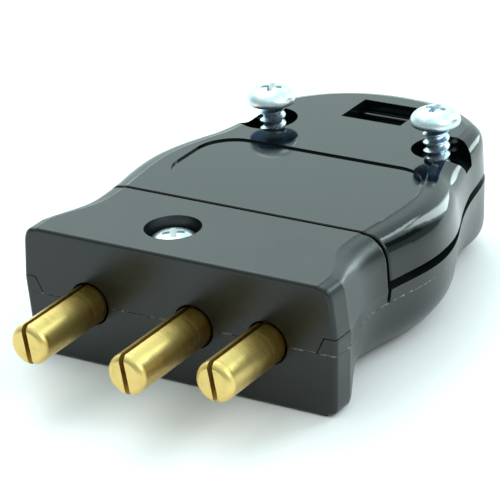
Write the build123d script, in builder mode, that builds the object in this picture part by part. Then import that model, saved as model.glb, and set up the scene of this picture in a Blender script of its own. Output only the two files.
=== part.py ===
from build123d import *
import os
from math import cos, radians, sin, sqrt

# Stage pin plug: three split brass pins in one row, a moulded base, a front cover over the pin roots
# and a rear cover over the wiring chamber and the cord clamp.
# Millimetres. The plug lies on its flat underside, pins to -Y, cord inlet to +Y.
# The origin is the middle of the whole plug, pins included, at the height of the underside.

# Pins
pin_diameter = 6.35
pin_nose_length = 1.4
pin_tip_diameter = 4.7
pin_slit_width = 0.85
pin_turn = 8.0
pin_slit_hidden = 1.2
hot_reach = 15.9
ground_reach = 17.9
neutral_reach = 14.5
hot_to_ground = 18.5
ground_to_neutral = 12.7
pin_hole_clearance = 0.3
collar_diameter = 8.8
collar_thickness = 2.0
collar_clearance = 0.15
pin_neck_diameter = 5.9
pin_neck_lead = 0.1
pin_tail_diameter = 5.0

# Body, seen from above: half widths, the stations where they hold, and how fast the side turns in there
body_length = 70.4
body_height = 20.8
flange_half_width = 27.4
flange_land = 3.9
land_slope = -0.3
waist_half_width = 25.0
waist_station = 14.5
bell_half_width = 27.4
bell_station = 30.5
hip_half_width = 24.1
hip_station = 43.0
hip_slope = -0.45
ear_half_width = 20.9
ear_from_tail = 18.1
ear_slope = -0.25
tail_corner_half_width = 16.8
tail_corner_from_tail = 6.4

# How far the sides lean in from the rim to the top and to the bottom, and how round they turn over there
top_lean = {"flange": 0.7, "waist": 0.1, "bell": 0.9, "hip": 0.9, "ear": 0.5, "corner": 0.1, "end": 0.2}
top_round = {"flange": 2.2, "waist": 4.2, "bell": 4.5, "hip": 4.4, "ear": 3.4, "corner": 2.6, "end": 2.4}
bottom_lean = {"flange": 0.8, "waist": 2.2, "bell": 2.0, "hip": 2.0, "ear": 2.2, "corner": 0.4, "end": 0.4}
bottom_round = {"flange": 1.8, "waist": 6.0, "bell": 6.5, "hip": 6.0, "ear": 6.0, "corner": 5.0, "end": 3.0}
straight_steps = 5
round_turns = (0.0, 22.5, 45.0, 67.5, 90.0)
front_edge_round = 0.6
cover_edge_round = 0.35

# Seams and walls
seam_height = 10.05
rim_height = 12.2
cover_seam_station = 18.7
cover_seam_gap = 0.5
seam_gap = 0.1
wall = 2.4
floor = 2.4
roof = 2.5
key_height = 2.6
key_top_width = 2.0
key_base_width = 3.3
key_clearance = 0.15
key_seat_gap = 0.05
key_foot = 0.1

# Front wall and pin saddles
front_wall = 5.0
saddle_end = 9.2

# Screws
screw_head_radius = 3.95
screw_head_height = 2.7
screw_rim_height = 0.8
screw_shoulder_radius = 2.9
screw_shoulder_height = 2.35
screw_crown_bulge = 0.2
screw_root_diameter = 3.2
screw_thread_diameter = 4.17
screw_tip_length = 1.2
screw_recess_width = 0.95
screw_recess_span = 4.3
screw_recess_foot = 1.8
screw_recess_depth = 1.7
screw_recess_edge = 0.25
front_turn = 35.0
left_turn = 20.0
right_turn = 5.0
screw_hole_clearance = 0.2
counterbore_clearance = 0.45
counterbore_depth = 3.4
boss_radius = 4.1
front_boss_radius = 3.6
pilot_floor = 1.2
front_screw_x = -5.6
front_screw_station = 8.9
front_screw_length = 12.7
rear_screw_x = 15.0
rear_counterbore_x = 15.8
rear_counterbore_clearance = 0.75
rear_passage_clearance = 0.9
cup_wall = 1.0
rear_screw_from_tail = 18.6
rear_screw_length = 15.9
left_backed_out = 6.35
right_backed_out = 7.4

# Terminals
block_width = 9.0
block_length = 11.2
block_height = 10.0
block_round = 0.4
block_seat_gap = 0.05
block_front_gap = 0.2
block_side_gap = 0.2
tail_bore_clearance = 0.05
tail_bore_depth = 3.8
wire_slot_width = 5.6
wire_slot_depth = 6.8
plate_thickness = 1.0
plate_side_gap = 0.15
plate_gap = 0.05
plate_drop = 0.7
tail_end_gap = 0.2
terminal_screw_diameter = 4.0
terminal_screw_from_slot_end = 2.4
terminal_head_diameter = 6.2
terminal_head_height = 2.0
terminal_head_lift = 0.6
terminal_slot_width = 0.9
partition_thickness = 1.4
partition_overrun = 1.5

# Rear cover features, on a middle line of their own: the loosened cover sits a little to the right
rear_middle = 0.4
panel_half_width = 19.8
panel_front_station = 25.0
panel_length = 17.8
panel_corner = 6.0
panel_recess = 0.3
window_width = 10.9
window_front_from_tail = 13.2
window_length = 7.8
reveal = 1.3
reveal_full_station = 33.0
hip_reveal_station = 43.5
hip_reveal = 0.45
ear_reveal = 1.2

# Cord clamp and inlet
inlet_diameter = 12.5
inlet_height = 10.4
inlet_wall = 5.0
inlet_chamfer = 0.8
clamp_grooves = 3
clamp_groove_length = 1.6
clamp_ridge_length = 1.2
clamp_groove_inset = 0.4
clamp_ridge_height = 0.6
clamp_width = 15.6
clamp_rear_gap = 0.3
clamp_seat_gap = 0.05
clamp_rail_height = 0.9
clamp_rail_length = 1.6
clamp_rail_gap = 0.3
clamp_edge_round = 0.3

# Derived places
front_y = (ground_reach - body_length) / 2
tail_y = front_y + body_length
hot_x = -(hot_to_ground + ground_to_neutral) / 2
ground_x = hot_x + hot_to_ground
neutral_x = ground_x + ground_to_neutral
pin_radius = pin_diameter / 2
pin_hole_radius = pin_radius + pin_hole_clearance
counterbore_radius = screw_head_radius + counterbore_clearance
rear_counterbore_radius = screw_head_radius + rear_counterbore_clearance
seat_z = body_height - counterbore_depth
ceiling_z = body_height - roof
cover_seam_y = front_y + cover_seam_station
rear_cover_y = cover_seam_y + cover_seam_gap
block_front_y = front_y + saddle_end + block_front_gap
block_rear_y = block_front_y + block_length
block_bottom = seam_height - block_height / 2
terminal_y = block_rear_y - wire_slot_depth + terminal_screw_from_slot_end
plate_top = seam_height + wire_slot_width / 2 - plate_drop
rear_screw_y = tail_y - rear_screw_from_tail
left_screw_x = rear_middle - rear_screw_x
right_screw_x = rear_middle + rear_screw_x
left_counterbore_x = rear_middle - rear_counterbore_x
right_counterbore_x = rear_middle + rear_counterbore_x
chamber_end_y = tail_y - inlet_wall
clamp_length = clamp_grooves * clamp_groove_length + (clamp_grooves - 1) * clamp_ridge_length
clamp_rear_y = chamber_end_y - clamp_rear_gap
clamp_front_y = clamp_rear_y - clamp_length
window_rear_y = tail_y - window_front_from_tail + window_length
partition_end_y = block_rear_y + partition_overrun
screw_passage = screw_thread_diameter / 2 + screw_hole_clearance
rear_passage = screw_thread_diameter / 2 + rear_passage_clearance
wide = body_length * 2


def outline(inset, wall_inset=0.0):
    """Draws the closed plan outline of one level, leaned in by the level's inset and by a wall."""
    shrink = {name: value + wall_inset for name, value in inset.items()}
    start = front_y - flange_land
    land_y = front_y + flange_land
    flange = flange_half_width - shrink["flange"]
    corner_shift = shrink["corner"] * cos(radians(45))
    side = [
        (flange, land_y),
        (waist_half_width - shrink["waist"], front_y + waist_station),
        (bell_half_width - shrink["bell"], front_y + bell_station),
        (hip_half_width - shrink["hip"], front_y + hip_station),
        (ear_half_width - shrink["ear"], tail_y - ear_from_tail),
        (tail_corner_half_width - corner_shift, tail_y - tail_corner_from_tail - corner_shift),
        (0, tail_y - shrink["end"]),
    ]
    directions = [(land_slope, 1), (0, 1), (0, 1), (hip_slope, 1), (ear_slope, 1), (-1, 1), (-1, 0)]
    with BuildSketch() as sketch:
        with BuildLine():
            Polyline((0, start), (flange, start), (flange, land_y))
            Spline(*side, tangents=directions)
            mirror(about=Plane.YZ)
        make_face()
    return sketch.sketch


def level(sketch, z):
    """Lifts a plan outline to its height."""
    return Pos(0, 0, z) * sketch


def insets(lean, rounds, share, depth):
    """Gives each station's inset at one level: its share of the lean, and the round where it has begun."""
    level_inset = {}
    for name, radius in rounds.items():
        past = max(radius - depth, 0)
        level_inset[name] = share * lean[name] + radius - sqrt(radius**2 - past**2)
    return level_inset


def side_levels(lean, rounds, face_z):
    """Gives the plan faces of one half of the body, from the rim to the top or the bottom face."""
    largest = max(rounds.values())
    height = abs(face_z - rim_height)
    straight = height - largest
    depths = [height - straight * step / straight_steps for step in range(straight_steps)]
    depths += [largest * (1 - sin(radians(turn))) for turn in round_turns]
    faces = []
    for depth in depths:
        share = 1 - depth / height
        z = rim_height + (face_z - rim_height) * share
        faces.append(level(outline(insets(lean, rounds, share, depth)), z).face())
    return faces


no_inset = {name: 0.0 for name in top_lean}

# The whole outer body, before it is parted along its seams
with BuildPart() as body:
    loft(side_levels(bottom_lean, bottom_round, 0))
    loft(side_levels(top_lean, top_round, body_height))
    split(bisect_by=Plane((0, front_y, 0), z_dir=(0, 1, 0)))
    front_face = body.faces().sort_by(Axis.Y)[0]
    fillet(front_face.edges(), front_edge_round)


def box_between(low, high, mode=Mode.ADD):
    """Adds a box to the open part from its lowest corner to its highest corner."""
    size = [b - a for a, b in zip(low, high)]
    with Locations(Vector(*low)):
        return Box(*size, align=(Align.MIN, Align.MIN, Align.MIN), mode=mode)


def along_pin(x):
    """Gives the plane of a half profile beside a pin's axis: radius across, depth from the face along."""
    return Plane((x, front_y, seam_height), x_dir=(1, 0, 0), z_dir=(0, 0, 1))


def facing_front(y, z):
    """Gives an upright plane that looks out of the front, with X across and Z up."""
    return Plane((0, y, z), x_dir=(1, 0, 0), z_dir=(0, -1, 0))


def key_profile(way, seat, grown):
    """Draws the trapezoid key of one front corner from its seat up, grown by a clearance."""
    side = way * flange_half_width * 2
    foot_x = way * (flange_half_width - key_base_width - grown)
    top_x = way * (flange_half_width - key_top_width - grown)
    top = key_height + grown
    with BuildSketch(facing_front(front_y, seam_height)) as sketch:
        with BuildLine():
            Polyline((foot_x, seat), (foot_x, key_foot), (top_x, top), (side, top), (side, seat), close=True)
        make_face()
    return sketch.sketch


def hollow(z_low, z_high, low_inset, high_inset):
    """Adds the hollow between two heights, one wall inside the body's outline."""
    low_face = level(outline(low_inset, wall), z_low).face()
    high_face = level(outline(high_inset, wall), z_high).face()
    loft([low_face, high_face], ruled=True)


def counterbore_cup(x, y, radius):
    """Keeps the material around and below one counterbore out of a cover's hollow."""
    with Locations((x, y, seat_z - cup_wall)):
        Cylinder(radius + cup_wall, wide, align=(Align.CENTER, Align.CENTER, Align.MIN), mode=Mode.SUBTRACT)


# The room for the pins in the front wall: holes, collar grooves and saddles
groove_radius = collar_diameter / 2 + pin_hole_clearance
groove_end = front_wall + collar_thickness + 2 * collar_clearance
saddle_radius = pin_neck_diameter / 2 + pin_hole_clearance
with BuildPart() as pin_room:
    for x in (hot_x, ground_x, neutral_x):
        with BuildSketch(along_pin(x)):
            with BuildLine():
                Polyline(
                    (0, -1),
                    (pin_hole_radius, -1),
                    (pin_hole_radius, front_wall),
                    (groove_radius, front_wall),
                    (groove_radius, groove_end),
                    (saddle_radius, groove_end),
                    (saddle_radius, saddle_end + 1),
                    (0, saddle_end + 1),
                    close=True,
                )
            make_face()
        revolve(axis=Axis((x, front_y, seam_height), (0, 1, 0)))

# The round cord inlet through the tail, half in the base and half in the rear cover
with BuildPart() as inlet_room:
    with BuildSketch(facing_front(tail_y + 1, inlet_height)):
        Circle(inlet_diameter / 2)
    extrude(amount=inlet_wall + 2)
    with BuildSketch(facing_front(tail_y + inlet_chamfer, inlet_height)):
        Circle(inlet_diameter / 2 + 2 * inlet_chamfer)
    extrude(amount=2 * inlet_chamfer, taper=45)

# The notches for the loose keys in the front cover's lower corners
with BuildPart() as key_room:
    for way in (-1, 1):
        extrude(key_profile(way, -1, key_clearance), amount=-(flange_land + key_clearance))

# The room for the three terminal blocks, between their floor step and the open space above them
block_seat_z = block_bottom - block_seat_gap
block_floor_end = block_rear_y + block_front_gap
with BuildPart() as block_room:
    for x in (hot_x, ground_x, neutral_x):
        side = block_width / 2 + block_side_gap
        block_top = block_bottom + block_height + block_side_gap
        box_between((x - side, front_y + saddle_end, block_seat_z), (x + side, block_floor_end, block_top))

# The hollow of the base: terminals in front, wiring chamber and cord clamp behind
floor_inset = insets(bottom_lean, bottom_round, 1 - floor / rim_height, floor)
with BuildPart() as base_hollow:
    hollow(floor, rim_height + 1, floor_inset, no_inset)
    box_between((-wide, front_y - wide, -1), (wide, front_y + saddle_end, wide), mode=Mode.SUBTRACT)
    box_between((-wide, chamber_end_y, -1), (wide, tail_y + wide, wide), mode=Mode.SUBTRACT)
    box_between((-wide, front_y, -1), (wide, block_floor_end, block_seat_z), mode=Mode.SUBTRACT)
    with Locations((front_screw_x, front_y + front_screw_station, 0)):
        Cylinder(front_boss_radius, wide, mode=Mode.SUBTRACT)
    with Locations((left_screw_x, rear_screw_y, 0), (right_screw_x, rear_screw_y, 0)):
        Cylinder(boss_radius, wide, mode=Mode.SUBTRACT)
    for middle in ((hot_x + ground_x) / 2, (ground_x + neutral_x) / 2):
        side = partition_thickness / 2
        box_between((middle - side, front_y, -1), (middle + side, partition_end_y, wide), mode=Mode.SUBTRACT)

# The space that belongs to the base, below the seams
with BuildPart() as base_region:
    box_between((-wide, front_y - 1, -1), (wide, tail_y + 1, seam_height))
    box_between((-wide, rear_cover_y, -1), (wide, tail_y + 1, rim_height))

# Base: the lower shell
screw_pilot = screw_root_diameter / 2 + screw_hole_clearance / 2
with BuildPart() as base_housing:
    add(body.part)
    add(base_region.part, mode=Mode.INTERSECT)
    add(base_hollow.part, mode=Mode.SUBTRACT)
    add(block_room.part, mode=Mode.SUBTRACT)
    add(pin_room.part, mode=Mode.SUBTRACT)
    add(inlet_room.part, mode=Mode.SUBTRACT)
    with Locations((front_screw_x, front_y + front_screw_station, pilot_floor)):
        Cylinder(screw_pilot, wide, align=(Align.CENTER, Align.CENTER, Align.MIN), mode=Mode.SUBTRACT)
    with Locations((left_screw_x, rear_screw_y, pilot_floor), (right_screw_x, rear_screw_y, pilot_floor)):
        Cylinder(screw_pilot, wide, align=(Align.CENTER, Align.CENTER, Align.MIN), mode=Mode.SUBTRACT)
base_housing.part.label = "base_housing"

# Front cover: the upper shell over the pin roots and the terminals
roof_inset = insets(top_lean, top_round, (ceiling_z - rim_height) / (body_height - rim_height), roof)
with BuildPart() as front_hollow:
    hollow(seam_height - 1, ceiling_z, no_inset, roof_inset)
    box_between((-wide, front_y - wide, -1), (wide, front_y + saddle_end, wide), mode=Mode.SUBTRACT)
    with Locations((front_screw_x, front_y + front_screw_station, 0)):
        Cylinder(front_boss_radius, wide, mode=Mode.SUBTRACT)
    counterbore_cup(front_screw_x, front_y + front_screw_station, counterbore_radius)
with BuildPart() as front_cover:
    add(body.part)
    cover_edge_z = seam_height + seam_gap
    box_between((-wide, front_y - 1, cover_edge_z), (wide, cover_seam_y, wide), mode=Mode.INTERSECT)
    seam_face = front_cover.faces().sort_by(Axis.Y)[-1]
    fillet(seam_face.edges().sort_by(Axis.Z)[1:], cover_edge_round)
    add(front_hollow.part, mode=Mode.SUBTRACT)
    add(block_room.part, mode=Mode.SUBTRACT)
    add(pin_room.part, mode=Mode.SUBTRACT)
    add(key_room.part, mode=Mode.SUBTRACT)
    with Locations((front_screw_x, front_y + front_screw_station, body_height)):
        CounterBoreHole(screw_passage, counterbore_radius, counterbore_depth)
front_cover.part.label = "front_cover"

# Rear cover: the upper shell over the wiring chamber and the cord clamp
rear_edge_z = rim_height + seam_gap
with BuildPart() as rear_hollow:
    hollow(rim_height - 1, ceiling_z, no_inset, roof_inset)
    box_between((-wide, chamber_end_y, -1), (wide, tail_y + wide, wide), mode=Mode.SUBTRACT)
    with Locations((left_screw_x, rear_screw_y, 0), (right_screw_x, rear_screw_y, 0)):
        Cylinder(boss_radius, wide, mode=Mode.SUBTRACT)
    for x in (left_counterbore_x, right_counterbore_x):
        counterbore_cup(x, rear_screw_y, rear_counterbore_radius)

# The shadow gap under its skirt: widest beside the bell, narrow at the hip, wide again around the tail
with BuildPart() as shadow_gap:
    with BuildSketch(Plane((0, front_y, rear_edge_z), x_dir=(0, 1, 0), z_dir=(1, 0, 0))):
        with BuildLine():
            Polyline(
                (cover_seam_station - 1, -1),
                (cover_seam_station - 1, reveal),
                (reveal_full_station, reveal),
                (hip_reveal_station, hip_reveal),
                (body_length - ear_from_tail, ear_reveal),
                (body_length + 1, ear_reveal),
                (body_length + 1, -1),
                close=True,
            )
        make_face()
    extrude(amount=wide, both=True)
    with Locations((left_screw_x, rear_screw_y, 0), (right_screw_x, rear_screw_y, 0)):
        Cylinder(boss_radius, wide, mode=Mode.SUBTRACT)

with BuildPart() as rear_cover:
    add(body.part)
    box_between((-wide, rear_cover_y, rear_edge_z), (wide, tail_y + 1, wide), mode=Mode.INTERSECT)
    seam_face = rear_cover.faces().sort_by(Axis.Y)[0]
    fillet(seam_face.edges().sort_by(Axis.Z)[1:], cover_edge_round)
    add(rear_hollow.part, mode=Mode.SUBTRACT)
    add(shadow_gap.part, mode=Mode.SUBTRACT)
    add(inlet_room.part, mode=Mode.SUBTRACT)
    with BuildSketch(Plane.XY.offset(body_height)):
        with Locations((rear_middle, front_y + panel_front_station + panel_length / 2)):
            RectangleRounded(2 * panel_half_width, panel_length, panel_corner)
    extrude(amount=-panel_recess, mode=Mode.SUBTRACT)
    box_between(
        (rear_middle - window_width / 2, window_rear_y - window_length, ceiling_z - 1),
        (rear_middle + window_width / 2, window_rear_y, wide),
        mode=Mode.SUBTRACT,
    )
    rear_counterbores = [(x, rear_screw_y, body_height) for x in (left_counterbore_x, right_counterbore_x)]
    with Locations(*rear_counterbores):
        CounterBoreHole(rear_passage, rear_counterbore_radius, counterbore_depth)
rear_cover.part.label = "rear_cover"


def split_pin(x, reach):
    """Makes one turned brass contact pin: split shaft, rounded nose, collar and tail."""
    tip_radius = pin_tip_diameter / 2
    nose_end = -reach + pin_nose_length
    middle = (
        tip_radius + (pin_radius - tip_radius) * sin(radians(45)),
        -reach + pin_nose_length * (1 - cos(radians(45))),
    )
    collar_front = front_wall + collar_clearance
    collar_end = collar_front + collar_thickness
    neck_radius = pin_neck_diameter / 2
    tail_radius = pin_tail_diameter / 2
    with BuildPart() as pin:
        with BuildSketch(along_pin(x)):
            with BuildLine():
                Line((0, -reach), (tip_radius, -reach))
                ThreePointArc((tip_radius, -reach), middle, (pin_radius, nose_end))
                Polyline(
                    (pin_radius, nose_end),
                    (pin_radius, -pin_neck_lead),
                    (neck_radius, -pin_neck_lead),
                    (neck_radius, collar_front),
                    (collar_diameter / 2, collar_front),
                    (collar_diameter / 2, collar_end),
                    (neck_radius, collar_end),
                    (neck_radius, saddle_end),
                    (tail_radius, saddle_end),
                    (tail_radius, saddle_end + block_front_gap + tail_bore_depth - tail_end_gap),
                    (0, saddle_end + block_front_gap + tail_bore_depth - tail_end_gap),
                    (0, -reach),
                )
            make_face()
        revolve(axis=Axis((x, front_y, seam_height), (0, 1, 0)))
        across = (cos(radians(pin_turn)), 0, sin(radians(pin_turn)))
        with BuildSketch(Plane((x, front_y + pin_slit_hidden, seam_height), x_dir=across, z_dir=(0, -1, 0))):
            Rectangle(pin_slit_width, 2 * pin_diameter)
        extrude(amount=pin_slit_hidden + reach + 1, mode=Mode.SUBTRACT)
    return pin.part


def terminal_block(x):
    """Makes one brass terminal block: bore for the pin's tail, slot for the wire, hole for the screw."""
    half = block_width / 2
    with BuildPart() as block:
        box_between(
            (x - half, block_front_y, block_bottom),
            (x + half, block_rear_y, block_bottom + block_height),
        )
        fillet(block.edges(), block_round)
        with BuildSketch(facing_front(block_front_y, seam_height)):
            with Locations((x, 0)):
                Circle(pin_tail_diameter / 2 + tail_bore_clearance)
        extrude(amount=-tail_bore_depth, mode=Mode.SUBTRACT)
        slot = wire_slot_width / 2
        box_between(
            (x - slot, block_rear_y - wire_slot_depth, seam_height - slot),
            (x + slot, block_rear_y + 1, seam_height + slot),
            mode=Mode.SUBTRACT,
        )
        with Locations((x, terminal_y, block_bottom + block_height)):
            Cylinder(
                terminal_screw_diameter / 2 + screw_hole_clearance / 2,
                block_height / 2,
                align=(Align.CENTER, Align.CENTER, Align.MAX),
                mode=Mode.SUBTRACT,
            )
    return block.part


def terminal_screw(x):
    """Makes one slotted terminal screw, backed off with its tip over the pressure plate."""
    head_z = block_bottom + block_height + terminal_head_lift
    with BuildPart() as screw:
        with Locations((x, terminal_y, head_z)):
            Cylinder(
                terminal_head_diameter / 2,
                terminal_head_height,
                align=(Align.CENTER, Align.CENTER, Align.MIN),
            )
        fillet(screw.edges().sort_by(Axis.Z)[-1], block_round)
        with Locations((x, terminal_y, head_z)):
            Cylinder(
                terminal_screw_diameter / 2,
                head_z - plate_top - plate_gap,
                align=(Align.CENTER, Align.CENTER, Align.MAX),
            )
        half = terminal_slot_width / 2
        box_between(
            (x - terminal_head_diameter, terminal_y - half, head_z + terminal_head_height / 2),
            (x + terminal_head_diameter, terminal_y + half, head_z + 2 * terminal_head_height),
            mode=Mode.SUBTRACT,
        )
    return screw.part


def pressure_plate(x):
    """Makes the small plate that spreads one terminal screw's load over the wire."""
    side = wire_slot_width / 2 - plate_side_gap
    with BuildPart() as plate:
        box_between(
            (x - side, block_rear_y - wire_slot_depth + plate_side_gap, plate_top - plate_thickness),
            (x + side, block_rear_y - plate_side_gap, plate_top),
        )
        fillet(plate.edges().filter_by(Axis.Z), block_round)
    return plate.part


def cross_screw(x, y, seat, length, turn):
    """Makes one pan head screw with a cross recess; its thread is left as the plain root."""
    root = screw_root_diameter / 2
    with BuildPart() as screw:
        with BuildSketch(Plane((x, y, seat), x_dir=(1, 0, 0), z_dir=(0, -1, 0))):
            with BuildLine():
                Polyline(
                    (0, -length),
                    (root / 2, -length),
                    (root, -length + screw_tip_length),
                    (root, 0),
                    (screw_head_radius, 0),
                    (screw_head_radius, screw_rim_height),
                )
                ThreePointArc(
                    (screw_head_radius, screw_rim_height),
                    (
                        (screw_head_radius + screw_shoulder_radius) / 2 + screw_crown_bulge,
                        (screw_rim_height + screw_shoulder_height) / 2 + screw_crown_bulge,
                    ),
                    (screw_shoulder_radius, screw_shoulder_height),
                )
                Line((screw_shoulder_radius, screw_shoulder_height), (0, screw_head_height))
                Line((0, screw_head_height), (0, -length))
            make_face()
        revolve(axis=Axis((x, y, seat), (0, 0, 1)))
        span, foot = screw_recess_span / 2, screw_recess_foot / 2
        for angle in (turn, turn + 90):
            across = (cos(radians(angle)), sin(radians(angle)), 0)
            out = (sin(radians(angle)), -cos(radians(angle)), 0)
            with BuildSketch(Plane((x, y, seat + screw_head_height), x_dir=across, z_dir=out)):
                with BuildLine():
                    Polyline(
                        (-span, 1),
                        (-span, -screw_recess_edge),
                        (-foot, -screw_recess_depth),
                        (foot, -screw_recess_depth),
                        (span, -screw_recess_edge),
                        (span, 1),
                        close=True,
                    )
                make_face()
            extrude(amount=screw_recess_width / 2, both=True, mode=Mode.SUBTRACT)
    return screw.part


def clamp_half(z_low, z_high):
    """Makes one half of the cord clamp with ridges across its arch."""
    side = clamp_width / 2
    groove_radius = inlet_diameter / 2 - clamp_groove_inset
    with BuildPart() as half:
        box_between((-side, clamp_front_y, z_low), (side, clamp_rear_y, z_high))
        with BuildSketch(facing_front(clamp_front_y, inlet_height)):
            Circle(groove_radius - clamp_ridge_height)
        extrude(amount=-clamp_length, mode=Mode.SUBTRACT)
        for index in range(clamp_grooves):
            groove_y = clamp_front_y + index * (clamp_groove_length + clamp_ridge_length)
            with BuildSketch(facing_front(groove_y, inlet_height)):
                Circle(groove_radius)
            extrude(amount=-clamp_groove_length, mode=Mode.SUBTRACT)
    return half.part


# Cord clamp: the lower saddle in the base and the upper bar below the window
saddle_top = inlet_height - clamp_seat_gap / 2
clamp_saddle = clamp_half(floor + clamp_seat_gap, saddle_top)
clamp_saddle.label = "clamp_saddle"
with BuildPart() as clamp_bar:
    add(clamp_half(saddle_top + clamp_seat_gap, ceiling_z - clamp_seat_gap))
    rail_side = window_width / 2 - clamp_rail_gap
    rail_rear_y = window_rear_y - clamp_rail_gap
    box_between(
        (rear_middle - rail_side, rail_rear_y - clamp_rail_length, ceiling_z - 2 * clamp_seat_gap),
        (rear_middle + rail_side, rail_rear_y, ceiling_z + clamp_rail_height),
    )
    fillet(clamp_bar.faces().sort_by(Axis.Z)[-1].edges(), clamp_edge_round)
clamp_bar.part.label = "clamp_bar"

# The two keys between the base and the front cover, one at each front corner
key_pieces = {"left_corner_key": -1, "right_corner_key": 1}
pieces = [base_housing.part, front_cover.part, rear_cover.part, clamp_saddle, clamp_bar.part]
for name, way in key_pieces.items():
    with BuildPart() as key:
        extrude(key_profile(way, key_seat_gap, 0), amount=-flange_land)
        add(body.part, mode=Mode.INTERSECT)
    key.part.label = name
    pieces.append(key.part)

# Three contacts, each with its terminal
contacts = {
    "hot": (hot_x, hot_reach),
    "ground": (ground_x, ground_reach),
    "neutral": (neutral_x, neutral_reach),
}
for name, (x, reach) in contacts.items():
    made = {
        "pin": split_pin(x, reach),
        "terminal_block": terminal_block(x),
        "terminal_screw": terminal_screw(x),
        "pressure_plate": pressure_plate(x),
    }
    for kind, piece in made.items():
        piece.label = name + "_" + kind
        pieces.append(piece)

# The three body screws, the rear ones backed out
front_screw_y = front_y + front_screw_station
left_seat = seat_z + left_backed_out
right_seat = seat_z + right_backed_out
body_screws = {
    "front_cover_screw": (front_screw_x, front_screw_y, seat_z, front_screw_length, front_turn),
    "left_rear_screw": (left_screw_x, rear_screw_y, left_seat, rear_screw_length, left_turn),
    "right_rear_screw": (right_screw_x, rear_screw_y, right_seat, rear_screw_length, right_turn),
}
for name, place in body_screws.items():
    piece = cross_screw(*place)
    piece.label = name
    pieces.append(piece)

os.makedirs("parts", exist_ok=True)
for piece in pieces:
    export_step(piece, "parts/" + piece.label + ".step")
    print(piece.label, round(piece.volume, 1), "mm3")
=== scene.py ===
import logging
import math
from dataclasses import dataclass
from enum import Enum

import bmesh
import bpy
from mathutils import Matrix, Vector


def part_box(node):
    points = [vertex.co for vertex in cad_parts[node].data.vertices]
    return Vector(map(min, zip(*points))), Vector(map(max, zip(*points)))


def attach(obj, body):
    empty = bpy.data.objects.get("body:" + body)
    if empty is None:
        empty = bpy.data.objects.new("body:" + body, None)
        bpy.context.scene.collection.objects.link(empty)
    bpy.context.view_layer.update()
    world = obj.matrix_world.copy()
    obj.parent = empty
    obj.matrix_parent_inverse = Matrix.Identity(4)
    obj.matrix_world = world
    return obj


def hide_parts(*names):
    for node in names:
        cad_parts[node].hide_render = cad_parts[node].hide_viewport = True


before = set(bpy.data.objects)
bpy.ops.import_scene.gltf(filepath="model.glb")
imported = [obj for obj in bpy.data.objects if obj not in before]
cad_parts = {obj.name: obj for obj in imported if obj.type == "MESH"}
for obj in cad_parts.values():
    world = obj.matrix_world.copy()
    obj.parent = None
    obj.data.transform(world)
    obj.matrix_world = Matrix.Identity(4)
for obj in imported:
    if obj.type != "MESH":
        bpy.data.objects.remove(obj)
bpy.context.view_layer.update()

log = logging.getLogger("stage_pin_plug")

MM = 0.001
BODY = "root"
MERGE_DISTANCE = 1e-7


class Slot(Enum):
    """A material slot name from the record, zinc_steel; no piece in this script takes its finish from it."""

    ZINC = "zinc_steel"


class Recess(Enum):
    """Which way a screw's cross recess is turned, in degrees."""

    FRONT = 35.0
    LEFT = 20.0
    RIGHT = 5.0


def linear(hex_colour: str) -> tuple[float, float, float, float]:
    """Turns an sRGB hex colour into linear colour with alpha.

    Args:
        hex_colour: six hex digits after a hash mark.

    Returns:
        Linear red, green, blue and an alpha of 1.
    """
    values = [int(hex_colour[i : i + 2], 16) / 255 for i in (1, 3, 5)]
    # The two parts of the sRGB curve: straight near black, a power above
    red, green, blue = (v / 12.92 if v <= 0.04045 else ((v + 0.055) / 1.055) ** 2.4 for v in values)
    return (red, green, blue, 1.0)


def add_node(
    tree: bpy.types.NodeTree, kind: str, settings: dict | None = None, **inputs
) -> bpy.types.Node:
    """Adds one node with its settings, input values and links.

    Args:
        tree: the node tree that takes the node.
        kind: the node's type name.
        settings: attributes to set on the node.
        inputs: socket values by name with underscores for spaces, or by number as in i0; a socket
            is linked.

    Returns:
        The new node.
    """
    node = tree.nodes.new(kind)
    for name, value in (settings or {}).items():
        setattr(node, name, value)
    for name, value in inputs.items():
        numbered = name[0] == "i" and name[1:].isdigit()
        socket = node.inputs[int(name[1:])] if numbered else node.inputs[name.replace("_", " ")]
        if isinstance(value, bpy.types.NodeSocket):
            tree.links.new(value, socket)
        else:
            socket.default_value = value
    return node


def set_ramp(
    node: bpy.types.Node, stops: list[tuple[float, tuple[float, float, float, float]]]
) -> bpy.types.Node:
    """Sets the stops of a colour ramp.

    Args:
        node: the colour ramp node.
        stops: places from 0 to 1 with their colours, in order.

    Returns:
        The same node.
    """
    elements = node.color_ramp.elements
    while len(elements) < len(stops):
        elements.new(1.0)
    for element, (place, colour) in zip(elements, stops):
        element.position = place
        element.color = colour
    return node


def new_material(name: str) -> tuple[bpy.types.Material, bpy.types.NodeTree, bpy.types.Node]:
    """Makes an empty node material.

    Args:
        name: the material's name.

    Returns:
        The material, its node tree and its output node.
    """
    material = bpy.data.materials.new(name)
    material.use_nodes = True
    tree = material.node_tree
    tree.nodes.clear()
    return material, tree, tree.nodes.new("ShaderNodeOutputMaterial")


def grey(level: float) -> tuple[float, float, float, float]:
    """Gives a grey as linear colour with alpha."""
    return (level, level, level, 1.0)


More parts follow.
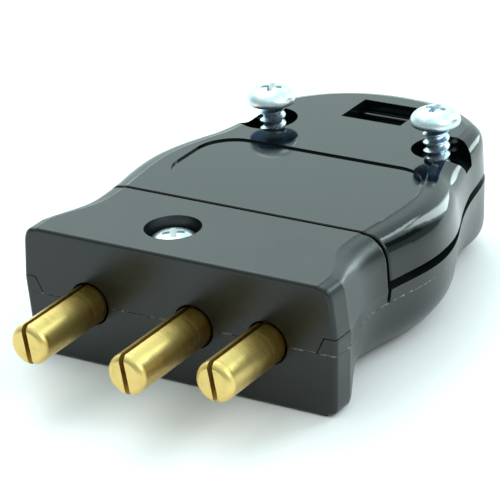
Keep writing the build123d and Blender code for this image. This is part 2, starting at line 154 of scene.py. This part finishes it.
@dataclass(frozen=True)
class MouldedPlastic:
    """Black moulded thermoplastic: a skin that copies its steel mould, from spark-eroded matt to polished."""

    name: str
    colour: str
    worn_colour: str
    roughness: float
    roughness_spread: float
    grain_mm: float
    grain_depth_mm: float
    scratch_strength: float
    seam_mm: float
    ior: float = 1.5
    flow_mm: float = 9.0
    streak_mm: float = 5.0
    streak_runs: tuple[tuple[float, float], ...] = ((0.5, 14.0), (-0.9, 11.0))
    streak_stops: tuple[float, float] = (0.7, 0.8)
    flash_colour: str = "#b5af98"
    flash_edge_mm: tuple[float, float] = (0.07, 0.16)
    flash_crumb_mm: float = 0.9
    flash_limits: tuple[float, float] = (0.5, 0.62)
    flash_cover: float = 0.75
    mark_roughness: float = 0.25
    ripple_depth_mm: float = 0.03

    def build(self) -> bpy.types.Material:
        """Makes the material: body colour, mould grain, flow marks, scratches and seam flash."""
        material, tree, output = new_material(self.name)
        place = add_node(tree, "ShaderNodeTexCoord").outputs["Object"]
        # Mould grain: the fine pits that spark erosion leaves in the steel
        grain = add_node(
            tree, "ShaderNodeTexNoise", Vector=place, Scale=1 / (self.grain_mm * MM),
            Detail=3.0, Roughness=0.6,
        )
        # Flow marks: slow changes of gloss where the melt ran together
        flow = add_node(
            tree, "ShaderNodeTexNoise", Vector=place, Scale=1 / (self.flow_mm * MM),
            Detail=4.0, Roughness=0.55,
        )
        # Handling scratches: streaks in two directions, 5 mm long and less than half a millimetre wide
        streaks = []
        start, full = self.streak_stops
        for turn, stretch in self.streak_runs:
            turned = add_node(
                tree, "ShaderNodeMapping", {"vector_type": "POINT"}, Vector=place,
                Rotation=(0.0, 0.0, turn), Scale=(1.0, stretch, stretch),
            )
            noise = add_node(
                tree, "ShaderNodeTexNoise", Vector=turned.outputs["Vector"],
                Scale=1 / (self.streak_mm * MM), Detail=2.0,
            )
            streaks.append(
                set_ramp(
                    add_node(tree, "ShaderNodeValToRGB", Fac=noise.outputs["Fac"]),
                    [(start, grey(0.0)), (full, grey(1.0))],
                ).outputs["Color"]
            )
        scratches = add_node(
            tree, "ShaderNodeMath", {"operation": "MAXIMUM"}, i0=streaks[0], i1=streaks[1]
        )
        worn = add_node(
            tree, "ShaderNodeMath", {"operation": "MULTIPLY"},
            i0=scratches.outputs[0], i1=self.scratch_strength,
        )
        colour = add_node(
            tree, "ShaderNodeMix", {"data_type": "RGBA"}, i0=worn.outputs[0],
            i6=linear(self.colour), i7=linear(self.worn_colour),
        )
        # Seam flash: pale specks of torn skin at the height of the front cover's seam, all round
        parts = add_node(tree, "ShaderNodeSeparateXYZ", Vector=place)
        off_seam = add_node(
            tree, "ShaderNodeMath", {"operation": "SUBTRACT"}, i0=parts.outputs["Z"], i1=self.seam_mm * MM
        )
        distance = add_node(tree, "ShaderNodeMath", {"operation": "ABSOLUTE"}, i0=off_seam.outputs[0])
        near = add_node(
            tree, "ShaderNodeMapRange", Value=distance.outputs[0],
            i1=self.flash_edge_mm[0] * MM, i2=self.flash_edge_mm[1] * MM, i3=1.0, i4=0.0,
        )
        crumbs = add_node(
            tree, "ShaderNodeTexNoise", Vector=place, Scale=1 / (self.flash_crumb_mm * MM),
            Detail=4.0, Roughness=0.7,
        )
        torn = add_node(
            tree, "ShaderNodeMapRange", Value=crumbs.outputs["Fac"],
            i1=self.flash_limits[0], i2=self.flash_limits[1], i3=0.0, i4=self.flash_cover,
        )
        flash = add_node(
            tree, "ShaderNodeMath", {"operation": "MULTIPLY"}, i0=near.outputs[0], i1=torn.outputs[0]
        )
        colour = add_node(
            tree, "ShaderNodeMix", {"data_type": "RGBA"}, i0=flash.outputs[0],
            i6=colour.outputs[2], i7=linear(self.flash_colour),
        )
        rough = add_node(
            tree, "ShaderNodeMapRange", Value=flow.outputs["Fac"], i1=0.3, i2=0.7,
            i3=self.roughness - self.roughness_spread, i4=self.roughness + self.roughness_spread,
        )
        marks = add_node(
            tree, "ShaderNodeMath", {"operation": "ADD"}, i0=worn.outputs[0], i1=flash.outputs[0]
        )
        rough_worn = add_node(
            tree, "ShaderNodeMath", {"operation": "MULTIPLY_ADD"},
            i0=marks.outputs[0], i1=self.mark_roughness, i2=rough.outputs[0],
        )
        bump = add_node(
            tree, "ShaderNodeBump", Strength=0.5, Distance=self.grain_depth_mm * MM,
            Height=grain.outputs["Fac"],
        )
        ripple = add_node(
            tree, "ShaderNodeBump", Strength=0.25, Distance=self.ripple_depth_mm * MM,
            Height=flow.outputs["Fac"], Normal=bump.outputs["Normal"],
        )
        shader = add_node(
            tree, "ShaderNodeBsdfPrincipled", Base_Color=colour.outputs[2], Roughness=rough_worn.outputs[0],
            IOR=self.ior, Normal=ripple.outputs["Normal"],
        )
        tree.links.new(shader.outputs[0], output.inputs["Surface"])
        return material


@dataclass(frozen=True)
class TurnedBrass:
    """Free-cutting brass, turned on a lathe: fine tool rings round the axis and a thin uneven tarnish."""

    name: str
    bright: str
    dull: str
    roughness: float
    axis_mm: tuple[float, float]
    ring_mm: float
    face_mm: float
    band_mm: float = 1.4
    band_spread: tuple[float, float] = (0.38, 0.62)
    tarnish_mm: float = 2.6
    sunk_mm: float = 1.0
    # Painted shade: how far from the face, and how strongly, the root is painted duller and the tip brighter
    face_shade_mm: float = 12.0
    face_shade_gain: tuple[float, float] = (-0.15, 0.16)
    ring_tarnish: float = 0.36
    shade_limits: tuple[float, float] = (0.27, 0.57)
    dull_roughening: float = 0.05
    bright_smoothing: float = 0.03
    ring_depth_mm: float = 0.01

    def build(self) -> bpy.types.Material:
        """Makes the material: tool rings along the axis and on the end, an uneven tarnish, and painted shade
        that darkens the root by the face.
        """
        material, tree, output = new_material(self.name)
        place = add_node(tree, "ShaderNodeTexCoord").outputs["Object"]
        centred = add_node(
            tree, "ShaderNodeMapping", {"vector_type": "POINT"}, Vector=place,
            Location=(-self.axis_mm[0] * MM, 0.0, -self.axis_mm[1] * MM),
        )
        parts = add_node(tree, "ShaderNodeSeparateXYZ", Vector=centred.outputs["Vector"])
        radius_of = add_node(tree, "ShaderNodeCombineXYZ", X=parts.outputs["X"], Z=parts.outputs["Z"])
        radius = add_node(
            tree, "ShaderNodeVectorMath", {"operation": "LENGTH"}, i0=radius_of.outputs["Vector"]
        )
        # Tool rings: the feed of the tool, drawn along the pin and outwards on its end
        both = add_node(
            tree, "ShaderNodeMath", {"operation": "ADD"}, i0=parts.outputs["Y"], i1=radius.outputs["Value"]
        )
        rings = add_node(
            tree, "ShaderNodeTexNoise", {"noise_dimensions": "1D"}, W=both.outputs[0],
            Scale=1 / (self.ring_mm * MM), Detail=3.0, Roughness=0.7,
        )
        bands = add_node(
            tree, "ShaderNodeTexNoise", {"noise_dimensions": "1D"}, W=both.outputs[0],
            Scale=1 / (self.band_mm * MM), Detail=2.0, Roughness=0.5,
        )
        faint = add_node(
            tree, "ShaderNodeMapRange", Value=bands.outputs["Fac"],
            i1=0.0, i2=1.0, i3=self.band_spread[0], i4=self.band_spread[1],
        )
        tarnish = add_node(
            tree, "ShaderNodeTexNoise", Vector=place, Scale=1 / (self.tarnish_mm * MM),
            Detail=5.0, Roughness=0.6,
        )
        # Painted shade: the root by the dark front face is painted duller, standing for that face's dark
        # reflection and shade, and the tip is painted brighter
        outward = add_node(
            tree, "ShaderNodeMapRange", {"interpolation_type": "SMOOTHSTEP"}, Value=parts.outputs["Y"],
            i1=(self.face_mm + self.sunk_mm) * MM, i2=(self.face_mm - self.face_shade_mm) * MM,
            i3=self.face_shade_gain[0], i4=self.face_shade_gain[1],
        )
        blend = add_node(
            tree, "ShaderNodeMath", {"operation": "MULTIPLY_ADD"}, i0=tarnish.outputs["Fac"],
            i1=faint.outputs[0], i2=outward.outputs[0],
        )
        # The tool's rings hold a trace of tarnish, so they show as fine darker lines
        lined = add_node(
            tree, "ShaderNodeMath", {"operation": "MULTIPLY_ADD"},
            i0=rings.outputs["Fac"], i1=self.ring_tarnish, i2=blend.outputs[0],
        )
        shade = add_node(
            tree, "ShaderNodeMapRange", Value=lined.outputs[0],
            i1=self.shade_limits[0], i2=self.shade_limits[1], i3=0.0, i4=1.0,
        )
        colour = add_node(
            tree, "ShaderNodeMix", {"data_type": "RGBA"}, i0=shade.outputs[0],
            i6=linear(self.dull), i7=linear(self.bright),
        )
        rough = add_node(
            tree, "ShaderNodeMapRange", Value=tarnish.outputs["Fac"], i1=0.3, i2=0.7,
            i3=self.roughness + self.dull_roughening, i4=self.roughness - self.bright_smoothing,
        )
        bump = add_node(
            tree, "ShaderNodeBump", Strength=0.5, Distance=self.ring_depth_mm * MM,
            Height=rings.outputs["Fac"],
        )
        shader = add_node(
            tree, "ShaderNodeBsdfPrincipled", Base_Color=colour.outputs[2], Metallic=1.0,
            Roughness=rough.outputs[0], Normal=bump.outputs["Normal"],
        )
        tree.links.new(shader.outputs[0], output.inputs["Surface"])
        return material


@dataclass(frozen=True)
class ZincPlate:
    """Bright zinc on steel with a clear blue passivation: pale, slightly blue and finely grained."""

    name: str
    bright: str
    blue: str
    # Painted shade: the dark blue colour painted on the faces that look down
    underside_shade: str
    roughness: float
    patch_mm: float = 2.2
    patch_limits: tuple[float, float] = (0.42, 0.68)
    underside_shade_reach: float = -0.8
    smoothing: float = 0.06
    roughening: float = 0.1
    grain_mm: float = 0.25
    grain_depth_mm: float = 0.01

    def build(self) -> bpy.types.Material:
        """Makes the material: bright metal, blue cast in patches, painted dark blue shade on the faces that
        look down, and a fine grain.
        """
        material, tree, output = new_material(self.name)
        place = add_node(tree, "ShaderNodeTexCoord").outputs["Object"]
        cast = add_node(
            tree, "ShaderNodeTexNoise", Vector=place, Scale=1 / (self.patch_mm * MM),
            Detail=3.0, Roughness=0.5,
        )
        fine = add_node(
            tree, "ShaderNodeTexNoise", Vector=place, Scale=1 / (self.grain_mm * MM), Detail=2.0
        )
        amount = add_node(
            tree, "ShaderNodeMapRange", Value=cast.outputs["Fac"],
            i1=self.patch_limits[0], i2=self.patch_limits[1], i3=0.0, i4=1.0,
        )
        colour = add_node(
            tree, "ShaderNodeMix", {"data_type": "RGBA"}, i0=amount.outputs[0],
            i6=linear(self.bright), i7=linear(self.blue),
        )
        # Painted shade: the faces that look down are painted a dark blue, standing for the shade and dark
        # reflections under the head
        outward = add_node(tree, "ShaderNodeNewGeometry").outputs["Normal"]
        downward = add_node(
            tree, "ShaderNodeMapRange", {"interpolation_type": "SMOOTHSTEP"},
            Value=add_node(tree, "ShaderNodeSeparateXYZ", Vector=outward).outputs["Z"],
            i1=0.0, i2=self.underside_shade_reach, i3=0.0, i4=1.0,
        )
        colour = add_node(
            tree, "ShaderNodeMix", {"data_type": "RGBA"}, i0=downward.outputs[0],
            i6=colour.outputs[2], i7=linear(self.underside_shade),
        )
        rough = add_node(
            tree, "ShaderNodeMapRange", Value=fine.outputs["Fac"], i1=0.3, i2=0.7,
            i3=self.roughness - self.smoothing, i4=self.roughness + self.roughening,
        )
        bump = add_node(
            tree, "ShaderNodeBump", Strength=0.3, Distance=self.grain_depth_mm * MM,
            Height=fine.outputs["Fac"],
        )
        shader = add_node(
            tree, "ShaderNodeBsdfPrincipled", Base_Color=colour.outputs[2], Metallic=1.0,
            Roughness=rough.outputs[0], Normal=bump.outputs["Normal"],
        )
        tree.links.new(shader.outputs[0], output.inputs["Surface"])
        return material


def finished_object(
    name: str, mesh_edit: bmesh.types.BMesh, material: bpy.types.Material, smooth_degrees: float = 35.0
) -> bpy.types.Object:
    """Turns a bmesh into an object at the origin, with one material and smooth curved faces.

    Args:
        name: the piece's name.
        mesh_edit: the finished bmesh, in metres and in place; it is freed.
        material: the piece's finish.
        smooth_degrees: edges sharper than this stay sharp.

    Returns:
        The new object, linked to the scene.
    """
    bmesh.ops.recalc_face_normals(mesh_edit, faces=mesh_edit.faces)
    for face in mesh_edit.faces:
        face.smooth = True
    for edge in mesh_edit.edges:
        edge.smooth = edge.is_manifold and edge.calc_face_angle(math.pi) < math.radians(smooth_degrees)
    mesh = bpy.data.meshes.new(name)
    mesh_edit.to_mesh(mesh)
    mesh_edit.free()
    mesh.materials.append(material)
    made = bpy.data.objects.new(name, mesh)
    bpy.context.scene.collection.objects.link(made)
    return made


def spun(profile: list[tuple[float, float]], steps: int) -> bmesh.types.BMesh:
    """Spins a half profile of radius and height about Z into a closed shape.

    Args:
        profile: points of radius and height, in metres, from axis to axis.
        steps: how many steps go round.

    Returns:
        A new bmesh.
    """
    made = bmesh.new()
    points = [made.verts.new((radius, 0.0, height)) for radius, height in profile]
    edges = [made.edges.new(pair) for pair in zip(points, points[1:])]
    bmesh.ops.spin(
        made, geom=points + edges, cent=(0, 0, 0), axis=(0, 0, 1), angle=math.tau, steps=steps,
        use_merge=True,
    )
    bmesh.ops.remove_doubles(made, verts=made.verts, dist=MERGE_DISTANCE)
    return made


@dataclass
class BodyScrew:
    """A pan head screw with a cross recess and a coarse thread-forming thread; it replaces its CAD node."""

    node: str
    recess: Recess
    length_mm: float
    head_radius_mm: float = 3.95
    head_height_mm: float = 2.63
    rim_mm: float = 0.6
    crown_steps: int = 12
    crown_fullness: float = 0.85
    root_radius_mm: float = 1.5
    crest_radius_mm: float = 2.08
    pitch_mm: float = 1.41
    recess_span_mm: float = 4.3
    recess_width_mm: float = 0.9
    recess_depth_mm: float = 1.4
    edge_mm: tuple[tuple[float, float], ...] = ((0.4, 0.0), (0.12, 0.1), (0.0, 0.36))
    cutter_rise_mm: float = 0.4
    wing_foot: float = 0.36
    wing_top_width: float = 1.12
    wing_foot_width: float = 0.8
    ridge_sunk_mm: float = 0.1
    ridge_shares: tuple[float, float, float] = (0.32, 0.44, 0.78)
    ridge_start_mm: float = 1.6
    ridge_end_mm: float = 0.25
    point_mm: float = 1.4
    point_share: float = 0.5
    root_overlap_mm: float = 0.05
    head_steps: int = 96
    shank_steps: int = 48
    thread_steps: int = 40

    def seat(self) -> Vector:
        """Gives the middle of the head's underside, in metres."""
        low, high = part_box(self.node)
        return Vector(((low[0] + high[0]) / 2, (low[1] + high[1]) / 2, low[2] + self.length_mm * MM))

    def head(self) -> bmesh.types.BMesh:
        """Spins the pan head with a softly rounded rim and a slightly crowned top."""
        radius, height, rim = self.head_radius_mm, self.head_height_mm, self.rim_mm
        profile = [(0.0, 0.0)]
        profile += [(radius - inset, rise) for inset, rise in self.edge_mm]
        profile.append((radius, rim))
        for step in range(1, self.crown_steps):
            angle = math.radians(90 * step / self.crown_steps)
            fullness = math.cos(angle) ** self.crown_fullness
            profile.append((radius * fullness, rim + (height - rim) * math.sin(angle)))
        profile.append((0.0, height))
        return spun([(r * MM, z * MM) for r, z in profile], self.head_steps)

    def recess_cutter(self) -> bmesh.types.BMesh:
        """Builds the cross that cuts the recess: two crossed wings, narrower at the foot."""
        cutter = bmesh.new()
        top = self.head_height_mm + self.cutter_rise_mm
        for turn in (0.0, 90.0):
            spin = Matrix.Rotation(math.radians(self.recess.value + turn), 4, "Z")
            wing = bmesh.ops.create_cube(cutter, size=1.0)["verts"]
            for vert in wing:
                upper = vert.co.z > 0
                span = self.recess_span_mm * (1.0 if upper else self.wing_foot)
                width = self.recess_width_mm * (self.wing_top_width if upper else self.wing_foot_width)
                depth = top if upper else self.head_height_mm - self.recess_depth_mm
                vert.co = Vector((vert.co.x * span * MM, vert.co.y * width * MM, depth * MM))
            bmesh.ops.transform(cutter, matrix=spin, verts=wing)
        return cutter

    def thread(self) -> bmesh.types.BMesh:
        """Spins the thread's ridge up a helix round the root, closed at both ends."""
        inner, crest, pitch = self.root_radius_mm - self.ridge_sunk_mm, self.crest_radius_mm, self.pitch_mm
        rise, fall, foot = (pitch * share for share in self.ridge_shares)
        made = bmesh.new()
        ridge = [(inner, 0.0), (crest, rise), (crest, fall), (inner, foot)]
        start = -self.length_mm + self.ridge_start_mm
        points = [made.verts.new((r * MM, 0.0, (start + z) * MM)) for r, z in ridge]
        edges = [made.edges.new((points[i], points[(i + 1) % len(points)])) for i in range(len(points))]
        turns = (-self.ridge_end_mm - foot - start) / pitch
        steps = int(turns * self.thread_steps)
        bmesh.ops.spin(
            made, geom=points + edges, cent=(0, 0, 0), axis=(0, 0, 1),
            dvec=(0, 0, turns * pitch * MM / steps), angle=math.tau * turns, steps=steps, use_merge=False,
        )
        bmesh.ops.holes_fill(made, edges=made.edges, sides=len(ridge))
        return made

    def shank(self) -> bmesh.types.BMesh:
        """Spins the root of the thread with its blunt point."""
        root, length = self.root_radius_mm, self.length_mm
        top = self.root_overlap_mm
        profile = [(0.0, top), (root, top), (root, -length + self.point_mm)]
        profile += [(root * self.point_share, -length), (0.0, -length)]
        return spun([(r * MM, z * MM) for r, z in profile], self.shank_steps)

    def build(self, material: bpy.types.Material) -> bpy.types.Object:
        """Builds the screw in its place and lets it stand for the CAD node.

        Args:
            material: the screw's finish.

        Returns:
            The finished screw.
        """
        head = finished_object(self.node + "_head", self.head(), material)
        cutter = finished_object(self.node + "_cutter", self.recess_cutter(), material)
        cut = head.modifiers.new("recess", "BOOLEAN")
        cut.operation = "DIFFERENCE"
        cut.solver = "EXACT"
        cut.use_self = True
        cut.object = cutter
        graph = bpy.context.evaluated_depsgraph_get()
        cut_mesh = bpy.data.meshes.new_from_object(head.evaluated_get(graph))
        whole = bmesh.new()
        whole.from_mesh(cut_mesh)
        for part in (self.shank(), self.thread()):
            extra = bpy.data.meshes.new("extra")
            part.to_mesh(extra)
            part.free()
            whole.from_mesh(extra)
            bpy.data.meshes.remove(extra)
        bmesh.ops.translate(whole, vec=self.seat(), verts=whole.verts)
        for helper in (head, cutter):
            bpy.data.objects.remove(helper)
        made = finished_object(self.node + "_threaded", whole, material)
        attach(made, BODY)
        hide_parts(self.node)
        return made


@dataclass
class Shells:
    """The three moulded shells, their corner keys and the clamp, kept as the CAD made them."""

    nylon: MouldedPlastic = MouldedPlastic(
        name="spark_matt_nylon", colour="#0f1415", worn_colour="#262e30", roughness=0.3,
        roughness_spread=0.04, grain_mm=0.16, grain_depth_mm=0.02, scratch_strength=0.3, seam_mm=10.1,
    )
    # A seam height below the underside leaves the polished shells without flash
    polished: MouldedPlastic = MouldedPlastic(
        name="polished_black_polycarbonate", colour="#0a0e0f", worn_colour="#1c2325", roughness=0.07,
        roughness_spread=0.02, grain_mm=0.4, grain_depth_mm=0.002, scratch_strength=0.3, seam_mm=-1.0,
    )

    def dress(self) -> None:
        """Gives each moulded piece its finish."""
        matt = self.nylon.build()
        gloss = self.polished.build()
        for node, material in (
            ("base_housing", matt),
            ("front_cover", matt),
            ("left_corner_key", matt),
            ("right_corner_key", matt),
            ("rear_cover", gloss),
            ("clamp_saddle", gloss),
            ("clamp_bar", gloss),
        ):
            assign(node, material)


@dataclass
class Contacts:
    """The three contacts with their terminals, dressed in turned brass and plated steel."""

    names: tuple[str, ...] = ("hot", "ground", "neutral")
    bright: str = "#e4c77c"
    dull: str = "#9c7930"
    roughness: float = 0.36
    ring_mm: float = 0.22

    def dress(self, steel: bpy.types.Material) -> None:
        """Gives each pin rings about its own axis, and each terminal its metal.

        Args:
            steel: the finish of the terminal screws and pressure plates.
        """
        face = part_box("base_housing")[0][1] / MM
        for name in self.names:
            low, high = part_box(name + "_pin")
            axis = ((low[0] + high[0]) / 2 / MM, (low[2] + high[2]) / 2 / MM)
            turned = TurnedBrass(
                name + "_turned_brass", self.bright, self.dull, self.roughness, axis, self.ring_mm, face
            ).build()
            assign(name + "_pin", turned)
            assign(name + "_terminal_block", turned)
            assign(name + "_terminal_screw", steel)
            assign(name + "_pressure_plate", steel)


def assign(node: str, material: bpy.types.Material) -> None:
    """Puts a material in every slot of a CAD node's object.

    Args:
        node: the CAD node's name.
        material: the finish it gets.
    """
    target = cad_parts[node]
    if not target.material_slots:
        target.data.materials.append(material)
    for entry in target.material_slots:
        entry.link = "OBJECT"
        entry.material = material


@dataclass(frozen=True)
class TentPatch:
    """A soft-edged patch of the tent in degrees: where it starts, is full, is full still, and ends."""

    turns: tuple[float, float, float, float]
    rises: tuple[float, float, float, float]


@dataclass(frozen=True)
class SoftLamp:
    """A square lamp that faces the plug, in metres and watts."""

    name: str
    place: tuple[float, float, float]
    size: float
    power: float


@dataclass
class Studio:
    """The pale floor, the soft light and the camera at the photograph's place."""

    floor_half: float = 3.0
    floor_roughness: float = 0.5
    fibres_per_metre: float = 900.0
    fibre_depth_mm: float = 0.02
    floor_colour: str = "#fdf9fb"
    tent_colour: str = "#e4fcfb"
    front_level: float = 0.55
    back_level: float = 1.55
    roof_level: float = 1.35
    strip_level: float = 7.5
    dusk_level: float = 0.4
    doorway_level: float = 0.05
    lean: float = 0.8
    behind_reach: tuple[float, float] = (-0.5, 0.45)
    roof_rises: tuple[float, float] = (30.0, 65.0)
    strip_low: TentPatch = TentPatch((0.5, 4.5, 12.0, 16.0), (-10.0, -4.0, 31.0, 34.5))
    strip_high: TentPatch = TentPatch((20.0, 26.0, 36.0, 44.0), (33.5, 35.5, 38.0, 40.0))
    dusk: TentPatch = TentPatch((15.0, 24.0, 48.0, 62.0), (-2.0, 6.0, 27.0, 31.0))
    doorway: TentPatch = TentPatch((37.0, 42.0, 53.0, 61.0), (16.0, 22.0, 27.0, 30.0))
    lamps: tuple[SoftLamp, ...] = (
        SoftLamp("key", (-0.35, 0.25, 0.6), 0.45, 1.3),
        SoftLamp("fill", (0.6, -0.1, 0.5), 0.4, 1.5),
    )
    camera_mm: tuple[float, float, float] = (226.2, -344.75, 196.7)
    azimuth: float = 33.7
    elevation: float = 24.23
    roll: float = -3.9
    focal_px: float = 2950.7
    frame_px: float = 500.0
    sensor_mm: float = 36.0
    clip_start: float = 0.01

    def floor(self) -> None:
        """Lays the floor, which takes the object's shadow."""
        material, tree, output = new_material("white_sweep_board")
        place = add_node(tree, "ShaderNodeTexCoord").outputs["Object"]
        fibre = add_node(
            tree, "ShaderNodeTexNoise", Vector=place, Scale=self.fibres_per_metre, Detail=2.0
        )
        bump = add_node(
            tree, "ShaderNodeBump", Strength=0.1, Distance=self.fibre_depth_mm * MM,
            Height=fibre.outputs["Fac"],
        )
        board = add_node(
            tree, "ShaderNodeBsdfPrincipled", Base_Color=linear(self.floor_colour),
            Roughness=self.floor_roughness, Normal=bump.outputs["Normal"],
        )
        tree.links.new(board.outputs[0], output.inputs["Surface"])
        made = bmesh.new()
        bmesh.ops.create_grid(made, x_segments=1, y_segments=1, size=self.floor_half)
        sweep = finished_object("floor", made, material)

    def light(self) -> None:
        """Sets the white tent: a bright back wall, a darker front, a lit strip beside a dark doorway."""
        world = bpy.data.worlds.new("white_tent")
        bpy.context.scene.world = world
        world.use_nodes = True
        tree = world.node_tree
        tree.nodes.clear()
        way = add_node(tree, "ShaderNodeTexCoord").outputs["Generated"]
        parts = add_node(tree, "ShaderNodeSeparateXYZ", Vector=way)
        turn = add_node(
            tree, "ShaderNodeMath", {"operation": "ARCTAN2"}, i0=parts.outputs["X"], i1=parts.outputs["Y"]
        ).outputs[0]
        rise = add_node(tree, "ShaderNodeMath", {"operation": "ARCSINE"}, i0=parts.outputs["Z"]).outputs[0]

        def step(value: bpy.types.NodeSocket, start: float, end: float) -> bpy.types.NodeSocket:
            """Rises softly from 0 at one angle to 1 at another, in degrees."""
            ramp = add_node(
                tree, "ShaderNodeMapRange", {"interpolation_type": "SMOOTHSTEP"}, Value=value,
                i1=math.radians(start), i2=math.radians(end), i3=0.0, i4=1.0,
            )
            return ramp.outputs[0]

        def cover(across: bpy.types.NodeSocket, patch: TentPatch) -> bpy.types.NodeSocket:
            """Gives how far a patch covers each place, from 0 to 1, with its turns read along across."""
            sides = [step(across, *patch.turns[:2]), step(across, *reversed(patch.turns[2:]))]
            sides += [step(rise, *patch.rises[:2]), step(rise, *reversed(patch.rises[2:]))]
            product = sides[0]
            for side in sides[1:]:
                both = add_node(tree, "ShaderNodeMath", {"operation": "MULTIPLY"}, i0=product, i1=side)
                product = both.outputs[0]
            return product

        def blend(
            amount: bpy.types.NodeSocket, low: bpy.types.NodeSocket, high: bpy.types.NodeSocket | float
        ) -> bpy.types.NodeSocket:
            """Mixes two levels."""
            mixed = add_node(tree, "ShaderNodeMix", {"data_type": "FLOAT"}, i0=amount, i2=low, i3=high)
            return mixed.outputs[0]

        behind = add_node(
            tree, "ShaderNodeMapRange", {"interpolation_type": "SMOOTHSTEP"}, Value=parts.outputs["Y"],
            i1=self.behind_reach[0], i2=self.behind_reach[1], i3=self.front_level, i4=self.back_level,
        ).outputs[0]
        level = blend(step(rise, *self.roof_rises), behind, self.roof_level)
        # The doorway's edge leans: it starts low on the left and climbs to the right
        leaned = add_node(
            tree, "ShaderNodeMath", {"operation": "MULTIPLY_ADD"}, i0=rise, i1=-self.lean, i2=turn
        ).outputs[0]
        low_part = cover(leaned, self.strip_low)
        high_part = cover(turn, self.strip_high)
        strip = add_node(tree, "ShaderNodeMath", {"operation": "MAXIMUM"}, i0=low_part, i1=high_part)
        level = blend(cover(leaned, self.dusk), level, self.dusk_level)
        level = blend(strip.outputs[0], level, self.strip_level)
        level = blend(cover(turn, self.doorway), level, self.doorway_level)
        seen = add_node(tree, "ShaderNodeLightPath").outputs["Is Camera Ray"]
        strength = blend(seen, level, 1.0)
        colour = add_node(
            tree, "ShaderNodeMix", {"data_type": "RGBA"}, i0=seen, i6=linear(self.tent_colour), i7=grey(1.0)
        )
        tent = add_node(tree, "ShaderNodeBackground", Color=colour.outputs[2], Strength=strength)
        output = tree.nodes.new("ShaderNodeOutputWorld")
        tree.links.new(tent.outputs[0], output.inputs["Surface"])

    def hang_lamps(self) -> None:
        """Hangs the soft lamps, each turned to the plug."""
        for soft in self.lamps:
            lamp = bpy.data.lights.new(soft.name, "AREA")
            lamp.size = soft.size
            lamp.energy = soft.power
            holder = bpy.data.objects.new(soft.name, lamp)
            holder.location = soft.place
            holder.rotation_mode = "QUATERNION"
            holder.rotation_quaternion = (Vector(soft.place) * -1).to_track_quat("-Z", "Y")
            bpy.context.scene.collection.objects.link(holder)

    def camera(self) -> None:
        """Places the camera where the photograph was taken from."""
        side, rise, roll = (math.radians(a) for a in (self.azimuth, self.elevation, self.roll))
        back = Vector((math.sin(side) * math.cos(rise), -math.cos(side) * math.cos(rise), math.sin(rise)))
        right = Vector((0, 0, 1)).cross(back).normalized()
        up = back.cross(right)
        across = right * math.cos(roll) + up * math.sin(roll)
        above = up * math.cos(roll) - right * math.sin(roll)
        lens = bpy.data.cameras.new("camera")
        lens.sensor_width = self.sensor_mm
        lens.lens = self.focal_px / self.frame_px * self.sensor_mm
        lens.clip_start = self.clip_start
        holder = bpy.data.objects.new("camera", lens)
        turn = Matrix((across, above, back)).transposed().to_4x4()
        holder.matrix_world = Matrix.Translation(Vector(self.camera_mm) * MM) @ turn
        bpy.context.scene.collection.objects.link(holder)
        bpy.context.scene.camera = holder

    def build(self) -> None:
        """Sets the whole stage."""
        self.floor()
        self.light()
        self.hang_lamps()
        self.camera()
        bpy.context.scene.view_settings.view_transform = "Standard"


def main() -> None:
    """Builds and dresses the plug, piece by piece, and sets the stage."""
    logging.basicConfig(level=logging.INFO, format="%(name)s: %(message)s")
    Studio().build()
    log.info("studio set")
    Shells().dress()
    log.info("shells dressed")
    # Each zinc finish paints the faces that look down a darker blue, as painted shade
    zinc = ZincPlate(
        name="blue_passivated_zinc", bright="#e4e8e8", blue="#bfd4df", underside_shade="#2a6592", roughness=0.3
    ).build()
    steel = ZincPlate(
        name="terminal_zinc", bright="#c9cccc", blue="#a9b4bb", underside_shade="#7c8f9b", roughness=0.3
    ).build()
    Contacts().dress(steel)
    log.info("contacts dressed")
    for screw in (
        BodyScrew(node="front_cover_screw", recess=Recess.FRONT, length_mm=12.7),
        BodyScrew(node="left_rear_screw", recess=Recess.LEFT, length_mm=15.9),
        BodyScrew(node="right_rear_screw", recess=Recess.RIGHT, length_mm=15.9),
    ):
        made = screw.build(zinc)
        log.info("%s: %d faces", made.name, len(made.data.polygons))


if __name__ == "__main__":
    main()
